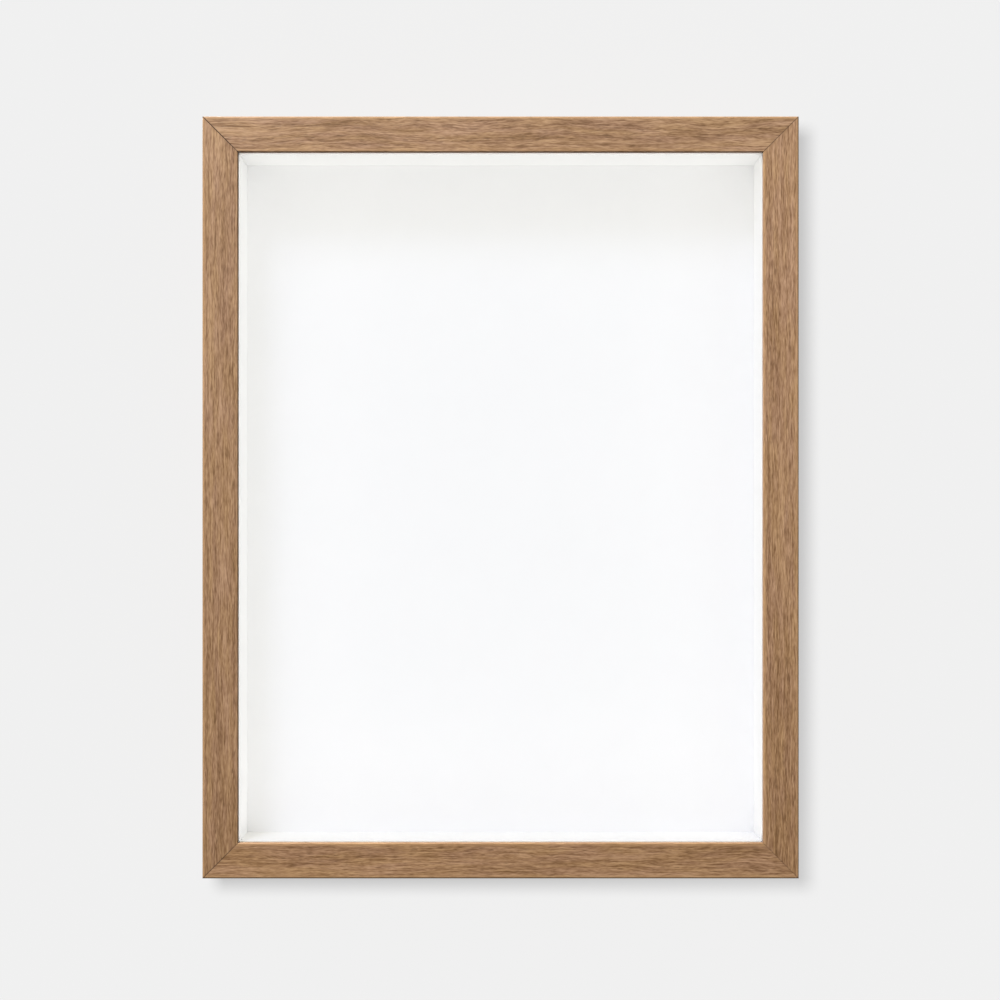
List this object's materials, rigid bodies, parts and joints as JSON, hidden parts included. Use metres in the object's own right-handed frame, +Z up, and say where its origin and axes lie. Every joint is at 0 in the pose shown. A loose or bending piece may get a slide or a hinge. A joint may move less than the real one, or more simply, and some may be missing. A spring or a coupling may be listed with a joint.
{
  "type": "floating frame",
  "caption": "Upright mitred oak box frame with glazing, deep white spacers and a white mount board for a floating work, a turn-button back and D-ring hangers.",
  "frame": {"origin": "on the wall plane, behind the centre of the frame's outline; the rubber bumpers' rear ends touch this plane", "axes": "+X to the right seen from the front, +Y into the wall, +Z up"},
  "size_m": [0.36, 0.045, 0.46],
  "materials": {
    "oak": "satin",
    "nail_steel": "satin",
    "glazing": "gloss",
    "spacer_white": "matte",
    "mount_board": "matte",
    "foam_board": "matte",
    "fibreboard": "matte",
    "button_steel": "satin",
    "hanger_steel": "satin",
    "screw_steel": "satin",
    "bumper": "matte"
  },
  "bodies": {
    "frame": {"top_rail": "oak", "bottom_rail": "oak", "left_rail": "oak", "right_rail": "oak", "v_nails": "nail_steel", "glazing": "glazing", "spacer_top": "spacer_white", "spacer_bottom": "spacer_white", "spacer_left": "spacer_white", "spacer_right": "spacer_white", "mount_board": "mount_board", "foam_board": "foam_board", "backing_board": "fibreboard", "turn_button_screws": "screw_steel", "hanger_strap_left": "hanger_steel", "hanger_strap_right": "hanger_steel", "hanger_screws": "screw_steel", "bumper_upper_left": "bumper", "bumper_lower_left": "bumper", "bumper_upper_right": "bumper", "bumper_lower_right": "bumper"},
    "turn_button_top": {"turn_button_top": "button_steel"},
    "turn_button_bottom": {"turn_button_bottom": "button_steel"},
    "turn_button_upper_left": {"turn_button_upper_left": "button_steel"},
    "turn_button_lower_left": {"turn_button_lower_left": "button_steel"},
    "turn_button_upper_right": {"turn_button_upper_right": "button_steel"},
    "turn_button_lower_right": {"turn_button_lower_right": "button_steel"},
    "hanger_ring_left": {"hanger_ring_left": "hanger_steel"},
    "hanger_ring_right": {"hanger_ring_right": "hanger_steel"}
  },
  "joints": [
    {"name": "turn_button_top_turn", "type": "hinge", "parent": "frame", "child": "turn_button_top", "pos_m": [0, -0.005, 0.2225], "axis": [0, 1, 0], "range_deg": [-90, 90]},
    {"name": "turn_button_bottom_turn", "type": "hinge", "parent": "frame", "child": "turn_button_bottom", "pos_m": [0, -0.005, -0.2225], "axis": [0, 1, 0], "range_deg": [-90, 90]},
    {"name": "turn_button_upper_left_turn", "type": "hinge", "parent": "frame", "child": "turn_button_upper_left", "pos_m": [-0.1725, -0.005, 0.07667], "axis": [0, 1, 0], "range_deg": [-90, 90]},
    {"name": "turn_button_lower_left_turn", "type": "hinge", "parent": "frame", "child": "turn_button_lower_left", "pos_m": [-0.1725, -0.005, -0.07667], "axis": [0, 1, 0], "range_deg": [-90, 90]},
    {"name": "turn_button_upper_right_turn", "type": "hinge", "parent": "frame", "child": "turn_button_upper_right", "pos_m": [0.1725, -0.005, 0.07667], "axis": [0, 1, 0], "range_deg": [-90, 90]},
    {"name": "turn_button_lower_right_turn", "type": "hinge", "parent": "frame", "child": "turn_button_lower_right", "pos_m": [0.1725, -0.005, -0.07667], "axis": [0, 1, 0], "range_deg": [-90, 90]},
    {"name": "hanger_ring_left_swing", "type": "hinge", "parent": "frame", "child": "hanger_ring_left", "pos_m": [-0.171, -0.0026, 0.138], "axis": [1, 0, 0], "range_deg": [0, 180]},
    {"name": "hanger_ring_right_swing", "type": "hinge", "parent": "frame", "child": "hanger_ring_right", "pos_m": [0.171, -0.0026, 0.138], "axis": [1, 0, 0], "range_deg": [0, 180]}
  ]
}
